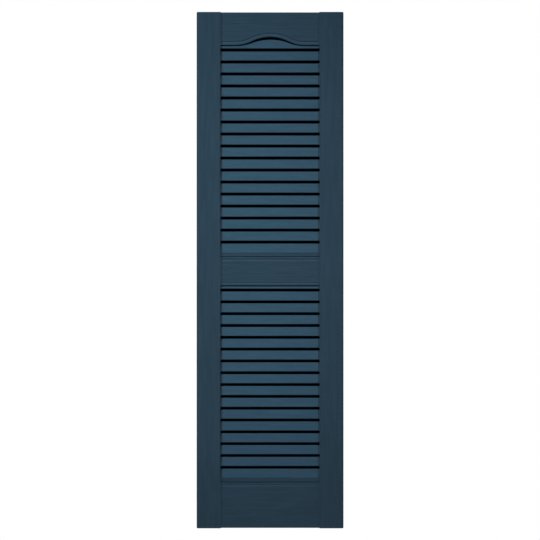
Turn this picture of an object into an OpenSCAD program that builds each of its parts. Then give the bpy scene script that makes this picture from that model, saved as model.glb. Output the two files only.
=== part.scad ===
// Louvred shutter panel: one hollow-backed moulding with fixed louvres.
// X runs across the panel, Z up it, and Y from the front of the panel to the wall.
// The origin is the middle of the back plane, the plane that meets the wall.

/* [Panel] */
// Width across both stiles
panel_w = 368.3; // [310:0.1:480]
// Height of the stiles
panel_h = 1295.4; // [900:0.1:1800]
// Depth from the back plane to the face of the stiles
panel_d = 28.6; // [24:0.1:40]
// Wall of the frame: its faces, sides and ends
wall = 2.5; // [1.8:0.1:3.5]

/* [Stiles] */
// Width of a stile's face
stile_w = 60; // [40:0.5:80]
// Rounding of a stile's outer front edge
stile_outer_r = 4.2; // [1:0.1:5]
// Rounding of a stile's inner front edge
stile_inner_r = 2.2; // [0.4:0.1:2.5]

/* [Rails] */
// Height of the top rail beside the arch
top_rail_h = 84.1; // [60:0.1:130]
// Height of the middle rail
mid_rail_h = 71.6; // [50:0.1:110]
// Distance of the middle rail's centre below the panel's centre
mid_rail_drop = 3.2; // [0:0.1:20]
// Height of the bottom rail
bottom_rail_h = 115.2; // [70:0.1:160]
// Depth of the rails' faces behind the stiles' faces
rail_setback = 2.6; // [1:0.1:5]
// Distance by which the rails stop short of the stiles' ends
rail_short = 1; // [0:0.1:3]

/* [Arch] */
// Height of the arch above the top rail's lower edge
arch_rise = 20.8; // [12:0.1:30]
// Distance from the arch's centre to where its curve runs out flat
arch_reach = 88; // [60:0.5:100]
// Radius of the crown as a share of the crown's and the reverse curve's together
arch_crown_share = 0.52; // [0.4:0.01:0.7]

/* [Rail moulding] */
// Width of the bead along the arched edge
arch_bead_w = 8.4; // [5:0.1:12]
// Width of the bead along a level edge
level_bead_w = 7; // [5:0.1:12]
// Width of the groove behind a bead
groove_w = 2.4; // [1:0.1:3]
// Depth of that groove
groove_d = 1; // [0.4:0.1:1.4]

/* [Louvres] */
// Spacing of the louvres before they are fitted to an opening
louvre_spacing = 30; // [24:0.5:36]
// Height of the slot between two louvres
slot_h = 6.8; // [4:0.1:9]
// Distance from an opening's top edge to the centre of its first slot
first_slot = 11.3; // [8:0.1:14]
// Distance from the centre of the last slot to the opening's bottom edge
last_slot = 37.4; // [32:0.1:44]
// Depth of a louvre from its nose to its top edge
louvre_run = 8; // [5:0.5:16]
// Distance of a nose behind the stiles' faces
nose_setback = 4.2; // [2.8:0.1:6]
// Rounding of a nose
nose_r = 1.2; // [0.6:0.1:1.8]
// Rounding of a louvre's top edge
top_edge_r = 0.8; // [0.4:0.1:1.2]
// Wall of the louvres
louvre_wall = 2.2; // [1.6:0.1:2.8]
// Taper of a slot from its mouth to its rear wall, on each side
slot_draft = 0.4; // [0.2:0.1:0.8]
// Step from the last nose back to the closed strip below it
strip_step = 0.8; // [0.4:0.1:2]
// Height of the shadow gap between that strip and the rail
gap_h = 1.6; // [1:0.1:2.4]
// Depth of that shadow gap
gap_d = 4; // [2:0.1:6]

/* [Ribs] */
// Widest spacing of the ribs in the stiles
stile_rib_spacing = 120; // [80:1:128]
// Widest spacing of the upright ribs in the rails and behind the louvres
rail_rib_spacing = 64; // [50:1:128]
// Thickness of the ribs
rib_t = 2; // [1.4:0.1:3]

/* [Hidden] */

// Depths along Y, from the back plane at 0 to the stiles' faces
stile_face = -panel_d;
rail_face = stile_face + rail_setback;
nose_y = stile_face + nose_setback;
top_edge_y = nose_y + louvre_run;
slot_wall_y = -louvre_wall;
strip_y = nose_y + strip_step;

// Heights along Z
stile_end = panel_h / 2;
rail_end = stile_end - rail_short;
top_rail_edge = stile_end - top_rail_h;
mid_rail_top = mid_rail_h / 2 - mid_rail_drop;
mid_rail_bottom = mid_rail_top - mid_rail_h;
bottom_rail_edge = bottom_rail_h - stile_end;

// The openings between the stiles
opening_w = panel_w - 2 * stile_w;
// The top edge, bottom edge and arch rise of each opening
UPPER = [top_rail_edge, mid_rail_top, arch_rise];
LOWER = [mid_rail_bottom, bottom_rail_edge, 0];

// The crown and its two reverse curves meet in a common tangent
arch_radii = (pow(arch_reach, 2) + pow(arch_rise, 2)) / (2 * arch_rise);
crown_r = arch_radii * arch_crown_share;
reverse_r = arch_radii - crown_r;
arch_turn = atan(arch_reach / (arch_radii - arch_rise));
ARC_STEPS = 10;
EDGE_STEPS = 4;
// How far pieces of the one moulding run into each other where they join
lap = wall / 2;
// How far a cut runs past the surface that it opens
clear = 1;

function unit(v) = v / norm(v);

// The rounded corner at b between the points a and c, as points from a's side to c's
function rounded(a, b, c, r) =
    let (u = unit(a - b), v = unit(c - b))
    let (half = acos(u * v) / 2)
    let (centre = b + unit(u + v) * r / sin(half))
    let (from = b + u * r / tan(half), to = b + v * r / tan(half))
    [for (i = [0:EDGE_STEPS])
        centre + r * unit(from + (to - from) * i / EDGE_STEPS - centre)];

// The arch's curve from right to left, d above the edge of an opening whose top edge is at z
function arch_right(z, d) =
    [for (i = [0:ARC_STEPS])
        let (a = arch_turn * i / ARC_STEPS)
        [arch_reach, z + reverse_r] - (reverse_r - d) * [sin(a), cos(a)]];
function arch_crown(z, d) =
    [for (i = [1:2 * ARC_STEPS - 1])
        let (a = arch_turn * (1 - i / ARC_STEPS))
        [0, z + arch_rise - crown_r] + (crown_r + d) * [sin(a), cos(a)]];
function arch(z, d) =
    let (right = arch_right(z, d))
    let (left = [for (i = [len(right) - 1:-1:0]) [-right[i].x, right[i].y]])
    concat(right, arch_crown(z, d), left);

// The top edge of an opening from right to left, d outside it
function top_edge(opening, d) =
    let (z = opening[0], x = opening_w / 2)
    concat([[x + d, z + d]], opening[2] > 0 ? arch(z, d) : [], [[-x - d, z + d]]);

// The outline of an opening, grown by d
function outline(opening, d) =
    let (x = opening_w / 2 + d, z = opening[1] - d)
    concat(top_edge(opening, d), [[-x, z], [x, z]]);

// The louvres of an opening share its height evenly
function louvre_count(opening) =
    1 + round((opening[0] - opening[1] - first_slot - last_slot) / louvre_spacing);
function spacing(opening) =
    (opening[0] - opening[1] - first_slot - last_slot) / (louvre_count(opening) - 1);
// Louvres that run on behind the top rail as far as the arch opens it
function hidden_louvres(opening) = ceil(opening[2] / spacing(opening));
// The level of the nose at the bottom of louvre i, counted down from the opening's first
function nose_z(opening, i) = opening[0] - first_slot + slot_h / 2 - i * spacing(opening);
function louvre_h(opening) = spacing(opening) - slot_h;

// The front of louvre i, from its top edge to its nose, and the slot under it
function louvre_front(opening, i) =
    let (z = nose_z(opening, i), h = louvre_h(opening))
    let (ledge = [slot_wall_y, z + h + slot_draft], tip = [top_edge_y, z + h], nose = [nose_y, z])
    let (roof = [slot_wall_y, z - slot_draft], floor = [slot_wall_y, z - slot_h + slot_draft])
    concat(rounded(ledge, tip, nose, top_edge_r), rounded(tip, nose, roof, nose_r), [roof, floor]);

// The front of the last louvre and of the closed strip and shadow gap below it
function last_front(opening, i) =
    let (z = nose_z(opening, i), h = louvre_h(opening), end = opening[1])
    let (ledge = [slot_wall_y, z + h + slot_draft], tip = [top_edge_y, z + h], nose = [nose_y, z])
    let (strip = [strip_y, z], strip_end = [strip_y, end + gap_h])
    concat(
        rounded(ledge, tip, nose, top_edge_r),
        rounded(tip, nose, strip, strip_step / 2),
        [strip, strip_end, [strip_y + gap_d, end + gap_h], [strip_y + gap_d, end - lap]]
    );

function front(opening) =
    let (last = louvre_count(opening), first = -hidden_louvres(opening))
    concat(
        [[0, nose_z(opening, first) + louvre_h(opening)]],
        [for (i = [first:last - 1]) each louvre_front(opening, i)],
        last_front(opening, last)
    );

// The pocket behind louvre i, from the bottom up; the louvre's back is parallel to its face
function pocket_top(opening, i) =
    let (z = nose_z(opening, i) + louvre_h(opening) - louvre_wall)
    [[louvre_back(opening, i, z), z], [0, z + slot_draft]];
function louvre_back(opening, i, z) =
    let (slope = louvre_run / louvre_h(opening))
    nose_y + (z - nose_z(opening, i)) * slope + louvre_wall * norm([1, slope]);
function pocket(opening, i) =
    let (z = nose_z(opening, i) + louvre_wall)
    concat([[0, z - slot_draft], [louvre_back(opening, i, z), z]], pocket_top(opening, i));

// The pocket behind the last louvre and its strip
function last_pocket(opening, i) =
    let (step = opening[1] + gap_h + louvre_wall, strip_back = strip_y + louvre_wall)
    let (slope = louvre_run / louvre_h(opening), behind_nose = louvre_back(opening, i, nose_z(opening, i)))
    concat(
        [[strip_back + gap_d, opening[1] - lap], [strip_back + gap_d, step], [strip_back, step]],
        [[strip_back, nose_z(opening, i) + (strip_back - behind_nose) / slope]],
        pocket_top(opening, i)
    );

function back(opening) =
    let (last = louvre_count(opening), first = -hidden_louvres(opening))
    concat(
        last_pocket(opening, last),
        [for (i = [last - 1:-1:first]) each pocket(opening, i)]
    );

// Upright ribs stand at even spacings across an opening, with one in the middle
rail_cells = 2 * ceil(opening_w / rail_rib_spacing / 2);
rib_x = [for (i = [1:rail_cells - 1]) (i / rail_cells - 0.5) * opening_w];
stile_cells = ceil(panel_h / stile_rib_spacing);
rib_z = [for (i = [1:stile_cells - 1]) (i / stile_cells - 0.5) * panel_h];

// Stands an outline drawn in X and Z up, from the depth y0 back to the depth y1
module standing(y0, y1) {
    translate([0, y1, 0])
        rotate([90, 0, 0])
            linear_extrude(height = y1 - y0)
                children();
}

// Runs a section drawn in Y and Z across the panel, centred on x
module across(x, width) {
    translate([x - width / 2, 0, 0])
        rotate([90, 0, 90])
            linear_extrude(height = width)
                children();
}

// One opening's louvres: a folded skin with a closed slot under each louvre, and its ribs
module louvres(opening) {
    closed = [[0, opening[1] - lap]];
    intersection() {
        union() {
            across(0, opening_w + 2 * lap)
                polygon(concat(front(opening), back(opening)));
            for (x = rib_x)
                across(x, rib_t)
                    polygon(concat(front(opening), closed));
        }
        standing(stile_face, 0)
            polygon(outline(opening, lap));
    }
}

// The sides of an opening, from the frame's face to the back plane
module opening_walls(opening) {
    difference() {
        standing(rail_face, 0)
            polygon(outline(opening, wall));
        standing(rail_face - clear, clear)
            polygon(outline(opening, 0));
    }
}

// A stile: a channel with a rounded face, closed ends and cross ribs; it stands at positive X
module stile() {
    inner = opening_w / 2;
    outer = panel_w / 2;
    corners = [[inner, 0], [inner, stile_face], [outer, stile_face], [outer, 0]];
    difference() {
        translate([0, 0, -stile_end])
            linear_extrude(height = panel_h)
                polygon(concat(
                    [corners[0]],
                    rounded(corners[0], corners[1], corners[2], stile_inner_r),
                    rounded(corners[1], corners[2], corners[3], stile_outer_r),
                    [corners[3]]
                ));
        translate([inner + wall, stile_face + wall, wall - stile_end])
            cube([stile_w - 2 * wall, panel_d, panel_h - 2 * wall]);
    }
    for (z = rib_z)
        translate([inner + lap, stile_face + lap, z - rib_t / 2])
            cube([stile_w - 2 * lap, panel_d - lap, rib_t]);
}

// The rails' faces are one plate with the two openings through it
module rail_faces() {
    difference() {
        rail_block(rail_face, rail_face + wall);
        for (opening = [UPPER, LOWER])
            standing(rail_face - clear, clear)
                polygon(outline(opening, 0));
        moulding_groove(top_edge(UPPER, arch_bead_w), top_edge(UPPER, arch_bead_w + groove_w));
        for (edge = [[mid_rail_top, -1], [mid_rail_bottom, 1], [bottom_rail_edge, -1]])
            moulding_groove(
                level(edge[0] + edge[1] * level_bead_w),
                level(edge[0] + edge[1] * (level_bead_w + groove_w))
            );
    }
}

// A level line across an opening, from right to left
function level(z) = [[opening_w / 2, z], [-opening_w / 2, z]];

// A groove cut in the rails' faces between two lines that run from right to left
module moulding_groove(near, far) {
    returning = [for (i = [len(far) - 1:-1:0]) far[i]];
    standing(rail_face - clear, rail_face + groove_d)
        polygon(concat(near, returning));
}

// The rails' whole height between the stiles, from the depth y0 back to the depth y1
module rail_block(y0, y1) {
    translate([-opening_w / 2 - lap, y0, -rail_end])
        cube([opening_w + 2 * lap, y1 - y0, 2 * rail_end]);
}

// The rails' top and bottom ends
module rail_ends() {
    for (z = [-rail_end, rail_end - wall])
        translate([-opening_w / 2 - lap, rail_face, z])
            cube([opening_w + 2 * lap, -rail_face, wall]);
}

// The upright ribs behind the rails
module rail_ribs() {
    difference() {
        for (x = rib_x)
            translate([x - rib_t / 2, rail_face + lap, lap - rail_end])
                cube([rib_t, -rail_face - lap, 2 * (rail_end - lap)]);
        for (opening = [UPPER, LOWER])
            standing(rail_face - clear, clear)
                polygon(outline(opening, lap));
    }
}

module shutter_panel() {
    color([0.17, 0.25, 0.31]) {
        stile();
        mirror([1, 0, 0])
            stile();
        rail_faces();
        rail_ends();
        rail_ribs();
        for (opening = [UPPER, LOWER]) {
            opening_walls(opening);
            louvres(opening);
        }
    }
}

shutter_panel();
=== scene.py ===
import math

import bmesh
import bpy
from mathutils import Matrix, Vector


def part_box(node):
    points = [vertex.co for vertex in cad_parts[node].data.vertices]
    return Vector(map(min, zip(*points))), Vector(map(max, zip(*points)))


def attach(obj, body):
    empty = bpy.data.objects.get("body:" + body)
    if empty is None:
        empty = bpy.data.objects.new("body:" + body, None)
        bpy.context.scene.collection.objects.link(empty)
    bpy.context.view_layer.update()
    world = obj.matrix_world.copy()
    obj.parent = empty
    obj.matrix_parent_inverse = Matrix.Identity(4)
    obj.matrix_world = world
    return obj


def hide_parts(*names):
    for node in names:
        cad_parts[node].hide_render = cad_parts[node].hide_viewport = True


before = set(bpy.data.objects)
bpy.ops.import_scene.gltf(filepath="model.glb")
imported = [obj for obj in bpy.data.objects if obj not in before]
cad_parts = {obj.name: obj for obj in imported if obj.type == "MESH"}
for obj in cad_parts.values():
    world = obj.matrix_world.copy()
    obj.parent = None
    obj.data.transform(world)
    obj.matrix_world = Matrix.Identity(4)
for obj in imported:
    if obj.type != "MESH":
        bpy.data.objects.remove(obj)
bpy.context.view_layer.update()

# The camera stands square in front of the panel, level with its middle, and far enough away for
# the stiles to stay parallel. The panel nearly fills its height.
panel_low, panel_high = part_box("shutter_panel")
panel_middle = (panel_low + panel_high) / 2
VIEW_DISTANCE = 9.0
VIEW_HEIGHT = 1.354
VIEW_OFFSET = Vector((-0.0002, 0, 0.0003))

camera_data = bpy.data.cameras.new("camera")
camera_data.sensor_width = 36.0
camera_data.lens = camera_data.sensor_width * VIEW_DISTANCE / VIEW_HEIGHT
camera = bpy.data.objects.new("camera", camera_data)
camera.location = Vector((panel_middle.x, panel_low.y - VIEW_DISTANCE, panel_middle.z)) + VIEW_OFFSET
camera.rotation_euler = (math.radians(90), 0, 0)
bpy.context.scene.collection.objects.link(camera)
bpy.context.scene.camera = camera


# The studio has white surroundings, a pale floor and soft-edged lamps. Two in front stand high and a
# little to the left, and light the panel's upper half most; two more light its back and the floor.
def lamp(name, azimuth, elevation, distance, aim, half_angle, size, power):
    """A round lamp with a soft-edged beam, aimed at a point that is given from the panel's middle.

    The angles are in degrees, and azimuth 0 is straight in front of the panel.
    """
    turn = math.radians(azimuth)
    rise = math.radians(elevation)
    reach = Vector((math.sin(turn), -math.cos(turn), 0)) * math.cos(rise) + Vector((0, 0, math.sin(rise)))
    data = bpy.data.lights.new(name, "SPOT")
    data.spot_size = math.radians(2 * half_angle)
    data.spot_blend = 1.0
    data.shadow_soft_size = size / 2
    data.energy = power
    stand = bpy.data.objects.new(name, data)
    stand.location = panel_middle + reach * distance
    stand.rotation_euler = (reach * distance - Vector(aim)).to_track_quat("Z", "Y").to_euler()
    bpy.context.scene.collection.objects.link(stand)


FRONT = {"azimuth": -9, "elevation": 40, "distance": 7.0, "size": 0.6}
BACK = {"elevation": 38, "distance": 6.0, "size": 2.0, "half_angle": 30, "power": 800}
LOW_BEHIND = (0, 0.4, -0.35)
lamp("key_lamp", aim=(0.1, 0, 0.05), half_angle=7.6, power=1520, **FRONT)
lamp("left_lamp", aim=(-0.5, 0, 0.1), half_angle=8.8, power=965, **FRONT)
lamp("back_lamp_left", azimuth=-140, aim=LOW_BEHIND, **BACK)
lamp("back_lamp_right", azimuth=140, aim=LOW_BEHIND, **BACK)

WHITE = (1, 1, 1, 1)
SURROUND_SHOWN = 1.0
SURROUND_LIGHT = 0.025
world = bpy.data.worlds.new("studio")
world.use_nodes = True
bpy.context.scene.world = world
sky = world.node_tree
shown = sky.nodes["Background"]
shown.inputs["Color"].default_value = WHITE
shown.inputs["Strength"].default_value = SURROUND_SHOWN
lit = sky.nodes.new("ShaderNodeBackground")
lit.inputs["Color"].default_value = WHITE
lit.inputs["Strength"].default_value = SURROUND_LIGHT
ray = sky.nodes.new("ShaderNodeLightPath")
either = sky.nodes.new("ShaderNodeMixShader")
sky.links.new(ray.outputs["Is Camera Ray"], either.inputs["Fac"])
sky.links.new(lit.outputs["Background"], either.inputs[1])
sky.links.new(shown.outputs["Background"], either.inputs[2])
sky.links.new(either.outputs["Shader"], sky.nodes["World Output"].inputs["Surface"])
bpy.context.scene.view_settings.view_transform = "Standard"

FLOOR_DROP = 0.25
FLOOR_REACH = 1.5
FLOOR_GREY = (0.85, 0.85, 0.84, 1)
FLOOR_ROUGHNESS = 0.9
floor_corners = [(-1, -1), (1, -1), (1, 1), (-1, 1)]
floor_points = [(FLOOR_REACH * x, FLOOR_REACH * y, panel_low.z - FLOOR_DROP) for x, y in floor_corners]
floor_mesh = bpy.data.meshes.new("floor")
floor_mesh.from_pydata(floor_points, [], [(0, 1, 2, 3)])
floor = bpy.data.objects.new("floor", floor_mesh)
bpy.context.scene.collection.objects.link(floor)
floor_finish = bpy.data.materials.new("pale_floor")
floor_finish.use_nodes = True
floor_shader = floor_finish.node_tree.nodes["Principled BSDF"]
floor_shader.inputs["Base Color"].default_value = FLOOR_GREY
floor_shader.inputs["Roughness"].default_value = FLOOR_ROUGHNESS
floor_mesh.materials.append(floor_finish)


# The stiles: the two uprights of a panel that is injection-moulded from copolymer in one piece. They
# are 60 mm across, well rounded at their outer edges and ends, and less so at their inner edges.
# Sizes are in millimetres from here on.
MM = 0.001
WIDTH = (panel_high.x - panel_low.x) / MM
DEPTH = (panel_high.y - panel_low.y) / MM
STILE_END = panel_high.z / MM
STILE_W = 60.0
STILE_FACE = -DEPTH
STILE_OUTER_R = 4.2
STILE_INNER_R = 2.2
STILE_END_R = 2.8
INNER = WIDTH / 2 - STILE_W
OUTER = WIDTH / 2
QUARTER = range(0, 91, 15)


def rounded(before, corner, after, radius, steps):
    """The points of the arc that rounds a corner between two straight edges."""
    before, corner, after = Vector(before), Vector(corner), Vector(after)
    u = (before - corner).normalized()
    v = (after - corner).normalized()
    half = u.angle(v) / 2
    centre = corner + (u + v).normalized() * radius / math.sin(half)
    start = corner + u * radius / math.tan(half)
    end = corner + v * radius / math.tan(half)
    chord = [start.lerp(end, i / steps) for i in range(steps + 1)]
    return [centre + (point - centre).normalized() * radius for point in chord]


def moulding(name, rings):
    """A closed solid through rings of as many points each, with a flat face on the first and last."""
    mesh = bmesh.new()
    rows = [[mesh.verts.new(point) for point in ring] for ring in rings]
    for low, high in zip(rows, rows[1:]):
        for i in range(len(low)):
            j = (i + 1) % len(low)
            mesh.faces.new((low[i], low[j], high[j], high[i]))
    mesh.faces.new(rows[0])
    mesh.faces.new(rows[-1])
    bmesh.ops.recalc_face_normals(mesh, faces=mesh.faces)
    data = bpy.data.meshes.new(name)
    mesh.to_mesh(data)
    mesh.free()
    solid = bpy.data.objects.new(name, data)
    bpy.context.scene.collection.objects.link(solid)
    return solid


def stile_section(side, inset):
    """The outline of a stile across its height, drawn in by inset at its face and outer side."""
    face = STILE_FACE + inset
    outer = OUTER - inset
    corners = [(INNER, 0), (INNER, face), (outer, face), (outer, 0)]
    inner_edge = rounded(*corners[:3], STILE_INNER_R, steps=5)
    outer_edge = rounded(*corners[1:], STILE_OUTER_R - inset, steps=7)
    points = [Vector(corners[0])] + inner_edge + outer_edge + [Vector(corners[3])]
    return [(side * p.x, p.y) for p in points]


def stile(side):
    """A stile whose ends are drawn in step by step, so that they come out rounded."""
    rings = []
    for end, turns in ((-1, reversed(QUARTER)), (1, QUARTER)):
        for turn in turns:
            drawn_in = STILE_END_R * (1 - math.cos(math.radians(turn)))
            height = end * (STILE_END - STILE_END_R * (1 - math.sin(math.radians(turn))))
            rings.append([(x, y, height) for x, y in stile_section(side, drawn_in)])
    return moulding("stile", rings)


front_parts = [stile(-1), stile(1)]


# The rails: the cross pieces of the same moulding, set a little behind the stiles' faces and curving
# up to meet them. Along each opening a rail has a rounded bead, with a soft groove behind it.
RAIL_SETBACK = 2.6
RAIL_SHORT = 1.0
TOP_RAIL_H = 84.1
MID_RAIL_H = 71.6
MID_RAIL_DROP = 3.2
BOTTOM_RAIL_H = 115.2
RAIL_FACE = STILE_FACE + RAIL_SETBACK
RAIL_END = STILE_END - RAIL_SHORT
TOP_RAIL_EDGE = STILE_END - TOP_RAIL_H
MID_RAIL_TOP = MID_RAIL_H / 2 - MID_RAIL_DROP
MID_RAIL_BOTTOM = MID_RAIL_TOP - MID_RAIL_H
BOTTOM_RAIL_EDGE = BOTTOM_RAIL_H - STILE_END
RAIL_END_R = 3.0
BEAD_R = 1.8
ARCH_BEAD_W = 8.4
ARCH_GROOVE_D = 1.1
LEVEL_BEAD_W = 7.0
LEVEL_GROOVE_D = 0.6
GROOVE_W = 2.4
GROOVE_STEPS = 5
BEAD_STEPS = 6

# The coves at the stiles rise a share of the way up to the stile's face, and no more than the lift.
LAP = 1.2
COVE_W = 5.0
COVE_SHARE = 0.8
COVE_LIFT = 3.0
COVE_STEPS = 5
COVE_BACK = -DEPTH / 2
COVE_PLACES = [INNER + LAP] + [INNER - COVE_W * i / COVE_STEPS for i in range(COVE_STEPS + 1)]
ACROSS = [-x for x in COVE_PLACES] + COVE_PLACES[::-1]


def quarter_turn(radius):
    """Points of a quarter circle, as (distance along the face, distance below it)."""
    turns = [math.radians(angle) for angle in QUARTER]
    return [(radius * (1 - math.cos(turn)), radius * (1 - math.sin(turn))) for turn in turns]


def bead(width, groove_d):
    """The bead's profile as (distance from the rail's edge, depth), from the back to the flat face."""
    fall = width - BEAD_R
    fall_r = (fall**2 + groove_d**2) / (2 * groove_d)
    points = [(0, 0)] + [(along, RAIL_FACE + below) for along, below in quarter_turn(BEAD_R)]
    for i in range(1, BEAD_STEPS + 1):
        run = fall * i / BEAD_STEPS
        points.append((BEAD_R + run, RAIL_FACE + fall_r - math.sqrt(fall_r**2 - run**2)))
    for i in range(1, GROOVE_STEPS + 1):
        rise = (1 + math.cos(math.pi * i / GROOVE_STEPS)) / 2
        points.append((width + GROOVE_W * i / GROOVE_STEPS, RAIL_FACE + groove_d * rise))
    return points


def end_edge():
    """A rail's outer end as (distance from the end, depth), from the flat face to the back."""
    return [(along, RAIL_FACE + below) for along, below in reversed(quarter_turn(RAIL_END_R))] + [(0, 0)]


def coved(x, y):
    """The depth at x of a face that lies y deep: it curves forward where it meets a stile."""
    nearness = 1 - min(1, max(0, (INNER - abs(x)) / COVE_W))
    lift = min(COVE_SHARE * (y - STILE_FACE), COVE_LIFT)
    return y if y > COVE_BACK else y - lift * (1 - math.cos(math.pi * nearness)) / 2


def level_rail(name, section):
    """A rail of one section all along, run a little way into the stiles."""
    return moulding(name, [[(x, coved(x, y), z) for z, y in section] for x in ACROSS])


level_bead = bead(LEVEL_BEAD_W, LEVEL_GROOVE_D)
mid_section = [(MID_RAIL_BOTTOM + d, y) for d, y in level_bead]
mid_section += [(MID_RAIL_TOP - d, y) for d, y in reversed(level_bead)]
bottom_section = [(BOTTOM_RAIL_EDGE - d, y) for d, y in level_bead]
bottom_section += [(-RAIL_END + d, y) for d, y in end_edge()]
front_parts += [level_rail("middle_rail", mid_section), level_rail("bottom_rail", bottom_section)]

# The top rail's arch is a crown with a reverse curve on each side, in arcs that run into each other.
# Their two radii add up to what the arch's rise and reach ask for.
ARCH_RISE = 20.8
ARCH_REACH = 88.0
CROWN_SHARE = 0.52
BOTH_RADII = (ARCH_REACH**2 + ARCH_RISE**2) / (2 * ARCH_RISE)
CROWN_R = BOTH_RADII * CROWN_SHARE
REVERSE_R = BOTH_RADII - CROWN_R
ARCH_TURN = math.atan(ARCH_REACH / (BOTH_RADII - ARCH_RISE))
ARC_STEPS = 16


def arch_line(distance):
    """The arch's curve from right to left, at a distance outside the opening."""
    reverse_r = REVERSE_R - distance
    crown_r = CROWN_R + distance
    reverse = []
    for i in range(ARC_STEPS + 1):
        turn = ARCH_TURN * i / ARC_STEPS
        reverse.append((ARCH_REACH - reverse_r * math.sin(turn), REVERSE_R - reverse_r * math.cos(turn)))
    crown = []
    for i in range(1, 2 * ARC_STEPS):
        turn = ARCH_TURN * (1 - i / ARC_STEPS)
        crown.append((crown_r * math.sin(turn), ARCH_RISE - CROWN_R + crown_r * math.cos(turn)))
    return reverse + crown + [(-x, z) for x, z in reversed(reverse)]


def top_edge(distance):
    """The top rail's lower edge from right to left, as (x, z), at a distance outside the opening."""
    level = [(x, TOP_RAIL_EDGE + distance) for x in COVE_PLACES]
    arch = [(x, TOP_RAIL_EDGE + z) for x, z in arch_line(distance)]
    return level + arch + [(-x, z) for x, z in reversed(level)]


arch_bead = bead(ARCH_BEAD_W, ARCH_GROOVE_D)
rail_rows = [[(x, coved(x, y), z) for x, z in top_edge(d)] for d, y in arch_bead]
flat_places = [x for x, z in top_edge(ARCH_BEAD_W + GROOVE_W)]
rail_rows += [[(x, coved(x, y), RAIL_END - d) for x in flat_places] for d, y in end_edge()]
front_parts.append(moulding("top_rail", [list(ring) for ring in zip(*rail_rows)]))


# The louvres: fixed slats moulded through from stile to stile, each with a rounded nose at its
# lower front edge. Under every nose a slot runs back to a closed rear wall, so none lets light by.
LOUVRE_SPACING = 30.0
SLOT_H = 6.8
FIRST_SLOT = 11.3
LAST_SLOT = 37.4
LOUVRE_RUN = 8.0
NOSE_SETBACK = 4.2
NOSE_R = 1.2
TOP_EDGE_R = 0.8
LOUVRE_WALL = 2.2
SLOT_DRAFT = 0.4
STRIP_STEP = 0.8
GAP_H = 1.6
GAP_D = 4.0
NOSE_Y = STILE_FACE + NOSE_SETBACK
TOP_EDGE_Y = NOSE_Y + LOUVRE_RUN
SLOT_WALL_Y = -LOUVRE_WALL
STRIP_Y = NOSE_Y + STRIP_STEP


class Opening:
    """One opening between two rails, with its louvres evenly spaced in it."""

    def __init__(self, top, bottom, rise):
        height = top - bottom - FIRST_SLOT - LAST_SLOT
        self.top = top
        self.bottom = bottom
        self.count = 1 + round(height / LOUVRE_SPACING)
        self.spacing = height / (self.count - 1)
        self.louvre_h = self.spacing - SLOT_H
        self.hidden = math.ceil(rise / self.spacing)
        self.slope = LOUVRE_RUN / self.louvre_h

    def louvres(self):
        """From those that the arch lays open to the one above the closed strip."""
        return range(-self.hidden, self.count + 1)

    def nose(self, i):
        """The height of louvre i's nose, at the top of the slot under it."""
        return self.top - FIRST_SLOT + SLOT_H / 2 - i * self.spacing

    def back_of(self, i, z):
        """How deep the back of louvre i lies at the height z."""
        return NOSE_Y + (z - self.nose(i)) * self.slope + LOUVRE_WALL * math.hypot(1, self.slope)


def louvre_front(opening, i):
    """Louvre i from its top edge to its nose, and the slot or the closed strip under it."""
    z = opening.nose(i)
    ledge = (SLOT_WALL_Y, z + opening.louvre_h + SLOT_DRAFT)
    tip = (TOP_EDGE_Y, z + opening.louvre_h)
    nose = (NOSE_Y, z)
    face = rounded(ledge, tip, nose, TOP_EDGE_R, steps=5)
    if i < opening.count:
        roof = (SLOT_WALL_Y, z - SLOT_DRAFT)
        sill = (SLOT_WALL_Y, z - SLOT_H + SLOT_DRAFT)
        return face + rounded(tip, nose, roof, NOSE_R, steps=8) + [roof, sill]
    strip = (STRIP_Y, z)
    gap_z = opening.bottom + GAP_H
    gap = [(STRIP_Y, gap_z), (STRIP_Y + GAP_D, gap_z), (STRIP_Y + GAP_D, opening.bottom - LAP)]
    return face + rounded(tip, nose, strip, STRIP_STEP / 2, steps=4) + [strip] + gap


def louvre_block(opening):
    """All of an opening's louvres as they show from the front, solid to the back plane."""
    section = [(0, opening.nose(-opening.hidden) + opening.louvre_h)]
    for i in opening.louvres():
        section += [tuple(point) for point in louvre_front(opening, i)]
    section.append((0, opening.bottom - LAP))
    return moulding("louvres", [[(x, coved(x, y), z) for y, z in section] for x in ACROSS])


def carve(solid, tool, operation):
    """Joins, cuts or keeps what two closed solids share, and drops the second."""
    change = solid.modifiers.new(operation, "BOOLEAN")
    change.operation = operation
    change.solver = "MANIFOLD"
    change.object = tool
    shaped = bpy.data.meshes.new_from_object(solid.evaluated_get(bpy.context.evaluated_depsgraph_get()))
    solid.modifiers.clear()
    solid.data = shaped
    bpy.data.objects.remove(tool)
    return solid


def opening_prism(top_line, bottom):
    """An opening's own shape, from in front of the panel to behind it, under a line across its top."""
    reach = INNER + LAP
    outline = top_line + [(-reach, bottom), (reach, bottom)]
    return moulding("opening", [[(x, y, z) for x, z in outline] for y in (STILE_FACE - LAP, LAP)])


upper = Opening(TOP_RAIL_EDGE, MID_RAIL_TOP, ARCH_RISE)
lower = Opening(MID_RAIL_BOTTOM, BOTTOM_RAIL_EDGE, 0)
under_arch = opening_prism(top_edge(LAP), MID_RAIL_TOP - 2 * LAP)
upper_louvres = carve(louvre_block(upper), under_arch, "INTERSECT")
front_parts += [upper_louvres, louvre_block(lower)]

panel = front_parts[0]
for part in front_parts[1:]:
    carve(panel, part, "UNION")
panel.name = "shutter_panel_moulding"


# The back: the moulding is a thin shell, so pockets open towards the wall behind every face. Between
# them stand walls and ribs, tapered a little so that the tool could be drawn.
WALL = 2.5
RIB = 2.0
POCKET_R = 1.6
POCKET_DRAFT = 0.35
STILE_CELLS = 11
RAIL_CELLS = 4
ARCH_STEPS = 24
CUT = 1.0


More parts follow.
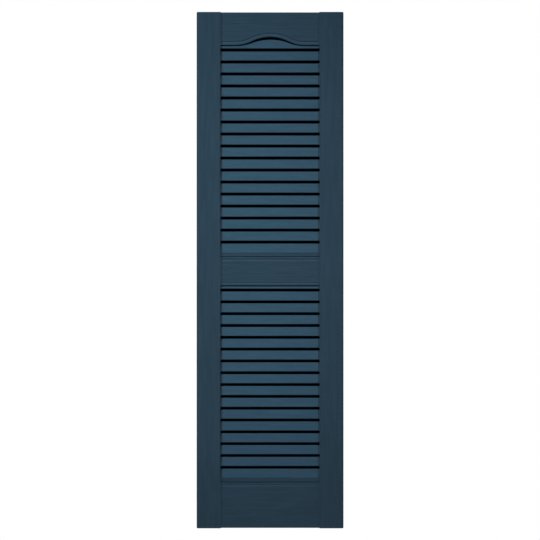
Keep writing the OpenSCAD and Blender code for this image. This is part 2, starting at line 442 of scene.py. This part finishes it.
def pocket_rings(floor_y):
    """A pocket's depths with how far it is drawn in at each: at the back plane, and round its floor."""
    return ((CUT, 0), (floor_y + POCKET_R, POCKET_DRAFT), (floor_y, POCKET_DRAFT + POCKET_R / 2))


def box_pocket(x0, x1, z0, z1, floor_y):
    """A pocket with rounded corners that narrows towards its floor."""
    rings = []
    for y, inset in pocket_rings(floor_y):
        low_left = (x0 + inset, z0 + inset)
        low_right = (x1 - inset, z0 + inset)
        high_right = (x1 - inset, z1 - inset)
        high_left = (x0 + inset, z1 - inset)
        loop = [high_left, low_left, low_right, high_right, high_left, low_left]
        points = []
        for i in range(4):
            points += rounded(*loop[i:i + 3], POCKET_R, steps=4)
        rings.append([(p.x, y, p.y) for p in points])
    return moulding("pocket", rings)


def cells(low, high, count, end_wall):
    """The spaces between evenly spaced ribs, from the wall at one end to that at the other."""
    step = (high - low) / count
    starts = [low + end_wall] + [low + i * step + RIB / 2 for i in range(1, count)]
    ends = [low + i * step - RIB / 2 for i in range(1, count)] + [high - end_wall]
    return list(zip(starts, ends))


pockets = []
for low, high in cells(-STILE_END, STILE_END, STILE_CELLS, WALL):
    pockets.append(box_pocket(INNER + WALL, OUTER - WALL, low, high, STILE_FACE + WALL))
    pockets.append(box_pocket(WALL - OUTER, -INNER - WALL, low, high, STILE_FACE + WALL))

rail_cells = cells(-INNER, INNER, RAIL_CELLS, 0)
rail_floor = RAIL_FACE + WALL
for x0, x1 in rail_cells:
    pockets.append(box_pocket(x0, x1, MID_RAIL_BOTTOM + WALL, MID_RAIL_TOP - WALL, rail_floor))
    pockets.append(box_pocket(x0, x1, WALL - RAIL_END, BOTTOM_RAIL_EDGE - WALL, rail_floor))


def arch_height(x, distance):
    """The height of the arch's curve above the level edge at x, at a distance outside it."""
    if abs(x) < (CROWN_R + distance) * math.sin(ARCH_TURN):
        return ARCH_RISE - CROWN_R + math.sqrt((CROWN_R + distance) ** 2 - x**2)
    if abs(x) < ARCH_REACH:
        return REVERSE_R - math.sqrt((REVERSE_R - distance) ** 2 - (ARCH_REACH - abs(x)) ** 2)
    return distance


def arch_pocket(x0, x1):
    """The pocket behind the top rail between two ribs, with its lower side along the arch."""
    rings = []
    for y, inset in pocket_rings(rail_floor):
        width = x1 - x0 - 2 * inset
        places = [x0 + inset + width * i / ARCH_STEPS for i in range(ARCH_STEPS + 1)]
        low_side = [(x, y, TOP_RAIL_EDGE + arch_height(x, WALL + inset)) for x in places]
        high_side = [(x, y, RAIL_END - WALL - inset) for x in reversed(places)]
        rings.append(low_side + high_side)
    return moulding("pocket", rings)


pockets += [arch_pocket(x0, x1) for x0, x1 in rail_cells]


def louvre_pocket(opening, i, x0, x1):
    """The hollow behind one louvre between two ribs."""
    low = opening.nose(i) + LOUVRE_WALL
    high = opening.nose(i) + opening.louvre_h - LOUVRE_WALL
    head = [(opening.back_of(i, high), high), (CUT, high + SLOT_DRAFT)]
    foot = [(CUT, low - SLOT_DRAFT), (opening.back_of(i, low), low)]
    if i == opening.count:
        strip_back = STRIP_Y + LOUVRE_WALL
        step = opening.bottom + GAP_H + LOUVRE_WALL
        meet = opening.nose(i) + (strip_back - opening.back_of(i, opening.nose(i))) / opening.slope
        foot = [(CUT, opening.bottom), (strip_back + GAP_D, opening.bottom), (strip_back + GAP_D, step)]
        foot += [(strip_back, step), (strip_back, meet)]
    return moulding("pocket", [[(x, y, z) for y, z in foot + head] for x in (x0, x1)])


def gathered(solids):
    """Several solids that don't touch as one object."""
    mesh = bmesh.new()
    for solid in solids:
        mesh.from_mesh(solid.data)
        bpy.data.objects.remove(solid)
    data = bpy.data.meshes.new("gathered")
    mesh.to_mesh(data)
    mesh.free()
    joined = bpy.data.objects.new("gathered", data)
    bpy.context.scene.collection.objects.link(joined)
    return joined


level_line = [(INNER + LAP, MID_RAIL_BOTTOM), (-INNER - LAP, MID_RAIL_BOTTOM)]
for opening, top_line in ((upper, top_edge(0)), (lower, level_line)):
    under_rail = []
    for i in opening.louvres():
        meets_rail = opening.nose(i) + opening.louvre_h > opening.top
        group = under_rail if meets_rail else pockets
        group += [louvre_pocket(opening, i, x0, x1) for x0, x1 in rail_cells]
    pockets.append(carve(gathered(under_rail), opening_prism(top_line, opening.bottom), "INTERSECT"))
carve(panel, gathered(pockets), "DIFFERENCE")
panel.data.transform(Matrix.Scale(MM, 4))

# Rounded edges and coves are shaded as one smooth turn between flat faces.
SHARP_ANGLE = math.radians(38)
for face in panel.data.polygons:
    face.use_smooth = True
panel.data.set_sharp_from_angle(angle=SHARP_ANGLE)
even = panel.modifiers.new("even_normals", "WEIGHTED_NORMAL")
even.keep_sharp = True
panel.data = bpy.data.meshes.new_from_object(panel.evaluated_get(bpy.context.evaluated_depsgraph_get()))
panel.modifiers.clear()


# The finish: slate-blue copolymer, coloured right through, with a satin front that was moulded
# against a fine wood grain. The grain runs up the stiles and across the rails and louvres.
BLUE = (0.0247, 0.0422, 0.0618)
GLOSS_BLUE = (0.14, 0.61, 1.0, 1)
GLOSS = 0.38
IOR = 1.5
SATIN = 0.54
STREAKS = 0.16
CLOUDS = 0.16
FINE_DULLING = 0.08
CLOUD_DULLING = 0.06
BROAD_RELIEF = 0.8
GRAIN_STRENGTH = 0.55
GRAIN_DEPTH = 0.0003
finish = bpy.data.materials.new("slate_blue_copolymer")
finish.use_nodes = True
tree = finish.node_tree
shader = tree.nodes["Principled BSDF"]
shader.inputs["IOR"].default_value = IOR
shader.inputs["Specular IOR Level"].default_value = GLOSS
shader.inputs["Specular Tint"].default_value = GLOSS_BLUE


def worked_out(operation, *terms):
    """The result of a math node on sockets and numbers."""
    made = tree.nodes.new("ShaderNodeMath")
    made.operation = operation
    for socket, term in zip(made.inputs, terms):
        if isinstance(term, bpy.types.NodeSocket):
            tree.links.new(term, socket)
        else:
            socket.default_value = term
    return made.outputs["Value"]


def noise(position, scale, detail):
    """The value of a noise pattern at a position."""
    made = tree.nodes.new("ShaderNodeTexNoise")
    made.inputs["Scale"].default_value = scale
    made.inputs["Detail"].default_value = detail
    tree.links.new(position, made.inputs["Vector"])
    return made.outputs["Fac"]


def spread(value, low, high):
    """A value drawn out so that low becomes 0 and high becomes 1."""
    made = tree.nodes.new("ShaderNodeMapRange")
    made.inputs["From Min"].default_value = low
    made.inputs["From Max"].default_value = high
    tree.links.new(value, made.inputs["Value"])
    return made.outputs["Result"]


surface = tree.nodes.new("ShaderNodeTexCoord")
place = tree.nodes.new("ShaderNodeSeparateXYZ")
tree.links.new(surface.outputs["Object"], place.inputs["Vector"])
facing = tree.nodes.new("ShaderNodeSeparateXYZ")
tree.links.new(surface.outputs["Normal"], facing.inputs["Vector"])
on_stile = worked_out("GREATER_THAN", worked_out("ABSOLUTE", place.outputs["X"]), INNER * MM)
off_stile = worked_out("SUBTRACT", 1.0, on_stile)


def grain(stretch, scale, detail):
    """Noise drawn out along the grain: upright on the stiles, level elsewhere."""
    along = tree.nodes.new("ShaderNodeCombineXYZ")
    for axis, stretched in (("X", off_stile), ("Z", on_stile)):
        share = worked_out("MULTIPLY_ADD", stretched, 1 / stretch - 1, 1.0)
        tree.links.new(worked_out("MULTIPLY", place.outputs[axis], share), along.inputs[axis])
    tree.links.new(place.outputs["Y"], along.inputs["Y"])
    return noise(along.outputs["Vector"], scale, detail)


fine_grain = spread(grain(stretch=28, scale=900, detail=2), low=0.3, high=0.7)
broad_grain = spread(grain(stretch=14, scale=150, detail=3), low=0.35, high=0.65)
mottle = noise(surface.outputs["Object"], scale=9, detail=2)

# Only the front was moulded against the grain; the sides and the hollow back are plain.
front = spread(facing.outputs["Y"], low=-0.1, high=-0.5)
both_grains = worked_out("MULTIPLY_ADD", broad_grain, BROAD_RELIEF, fine_grain)
relief = worked_out("MULTIPLY", both_grains, front)
bump = tree.nodes.new("ShaderNodeBump")
bump.inputs["Strength"].default_value = GRAIN_STRENGTH
bump.inputs["Distance"].default_value = GRAIN_DEPTH
tree.links.new(relief, bump.inputs["Height"])
tree.links.new(bump.outputs["Normal"], shader.inputs["Normal"])

# The blue varies a little about its own value, in streaks along the grain and in wide clouds.
streaks = worked_out("MULTIPLY_ADD", broad_grain, STREAKS, 1 - STREAKS / 2)
clouds = worked_out("MULTIPLY_ADD", mottle, CLOUDS, 1 - CLOUDS / 2)
tint = tree.nodes.new("ShaderNodeVectorMath")
tint.operation = "SCALE"
tint.inputs[0].default_value = BLUE
tree.links.new(worked_out("MULTIPLY", streaks, clouds), tint.inputs["Scale"])
tree.links.new(tint.outputs["Vector"], shader.inputs["Base Color"])
dulled = worked_out("MULTIPLY_ADD", fine_grain, FINE_DULLING, SATIN)
tree.links.new(worked_out("MULTIPLY_ADD", mottle, CLOUD_DULLING, dulled), shader.inputs["Roughness"])
panel.data.materials.clear()
panel.data.materials.append(finish)

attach(panel, "root")
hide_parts("shutter_panel")
